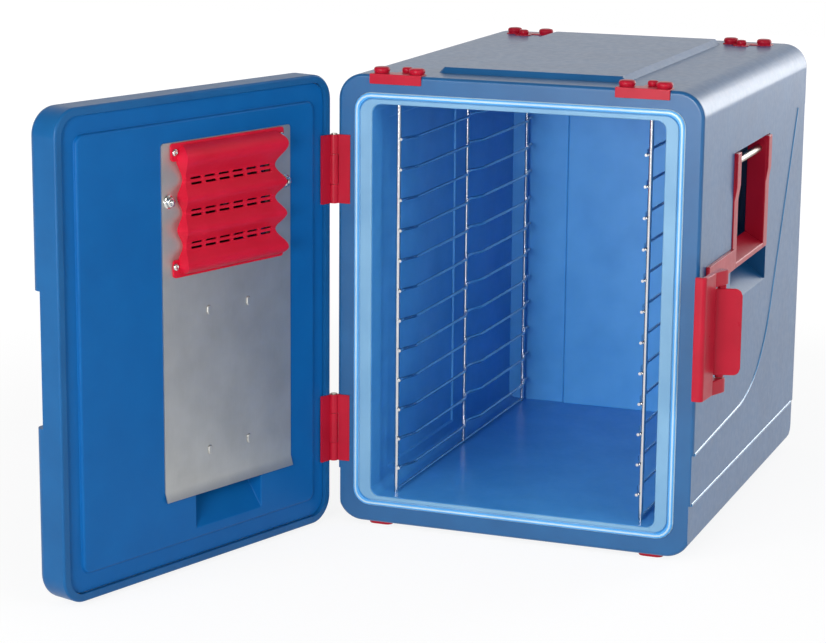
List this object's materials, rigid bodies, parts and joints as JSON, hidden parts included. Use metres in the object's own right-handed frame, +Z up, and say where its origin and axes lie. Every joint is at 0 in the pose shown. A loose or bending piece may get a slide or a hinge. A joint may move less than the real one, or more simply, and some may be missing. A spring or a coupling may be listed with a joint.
{
  "type": "insulated food transport box",
  "caption": "Front-loading insulated transport box with a side-hung heated door, wire tray racks, drop-in side handles, a draw latch, stacking studs and skid feet.",
  "frame": {"origin": "on the floor under the middle of the box's body, between the four feet", "axes": "+X to the right seen from the open front, +Y from the open front to the back, +Z up; the door is hung on the left and stands open at rest"},
  "size_m": [0.734, 1.0769, 0.61],
  "materials": {
    "blue_shell": "satin",
    "blue_liner": "satin",
    "pale_seal": "matte",
    "red_plastic": "satin",
    "red_grille": "matte",
    "rack_steel": "polished",
    "rod_steel": "satin",
    "plate_steel": "satin",
    "foam_core": "matte",
    "black_plastic": "satin",
    "motor_steel": "satin",
    "element_steel": "satin",
    "grey_plastic": "matte",
    "pin_brass": "polished"
  },
  "bodies": {
    "box": {"outer_shell": "blue_shell", "body_foam": "foam_core", "inner_liner": "blue_liner", "cavity_seal": "pale_seal", "rack_frame_left": "rack_steel", "rack_frame_right": "rack_steel", "rack_runners_left": "rack_steel", "rack_runners_right": "rack_steel", "stacking_corner_front_left": "red_plastic", "stacking_corner_front_right": "red_plastic", "stacking_corner_rear_left": "red_plastic", "stacking_corner_rear_right": "red_plastic", "foot_front_left": "red_plastic", "foot_front_right": "red_plastic", "foot_rear_left": "red_plastic", "foot_rear_right": "red_plastic", "hinge_leaf_body_upper": "red_plastic", "hinge_leaf_body_lower": "red_plastic", "hinge_pin_upper": "rod_steel", "hinge_pin_lower": "rod_steel", "bail_rod_right": "rod_steel", "bail_rod_left": "rod_steel", "latch_base": "red_plastic", "latch_pin": "rod_steel"},
    "door": {"hinge_leaf_door_upper": "red_plastic", "hinge_leaf_door_lower": "red_plastic", "door_outer_shell": "blue_shell", "door_foam": "foam_core", "door_inner_panel": "blue_liner", "heater_plate": "plate_steel", "fan_grille": "red_grille", "grille_screws": "rod_steel", "plate_tabs": "plate_steel", "plate_nuts": "rod_steel", "fan_motor": "motor_steel", "heating_element": "element_steel", "control_box": "grey_plastic", "temperature_probe": "element_steel", "inlet_panel": "black_plastic", "inlet_pins": "pin_brass"},
    "latch_lever_body": {"latch_lever": "red_plastic"},
    "latch_claw_body": {"latch_claw": "red_plastic", "claw_pin": "rod_steel"},
    "bail_right_body": {"bail_right": "red_plastic"},
    "bail_left_body": {"bail_left": "red_plastic"},
    "fan_body": {"fan_impeller": "black_plastic"},
    "switch_body": {"power_switch": "black_plastic"}
  },
  "joints": [
    {"name": "door_hinge", "type": "hinge", "parent": "box", "child": "door", "pos_m": [-0.247, -0.307, 0.304], "axis": [0, 0, 1], "range_deg": [-72, 108]},
    {"name": "latch_lever_pivot", "type": "hinge", "parent": "box", "child": "latch_lever_body", "pos_m": [0.251, -0.298, 0.304], "axis": [0, 0, 1], "range_deg": [-25, 70]},
    {"name": "latch_claw_pivot", "type": "hinge", "parent": "latch_lever_body", "child": "latch_claw_body", "pos_m": [0.26791, -0.29184, 0.304], "axis": [0, 0, 1], "range_deg": [-67.5, 24.5]},
    {"name": "bail_right_pivot", "type": "hinge", "parent": "box", "child": "bail_right_body", "pos_m": [0.23225, -0.041, 0.486], "axis": [0, -1, 0], "range_deg": [0, 95]},
    {"name": "bail_left_pivot", "type": "hinge", "parent": "box", "child": "bail_left_body", "pos_m": [-0.23225, -0.041, 0.486], "axis": [0, 1, 0], "range_deg": [0, 95]},
    {"name": "fan_spin", "type": "hinge", "parent": "door", "child": "fan_body", "pos_m": [-0.32112, -0.49531, 0.456], "axis": [0.9511, -0.309, 0], "continuous": true},
    {"name": "power_switch_rock", "type": "hinge", "parent": "door", "child": "switch_body", "pos_m": [-0.31827, -0.37006, 0.106], "axis": [-0.309, -0.9511, 0], "range_deg": [0, 16]}
  ],
  "couplings": [
    {"joint": "latch_claw_pivot", "follows": "latch_lever_pivot", "ratio": -0.95714}
  ]
}
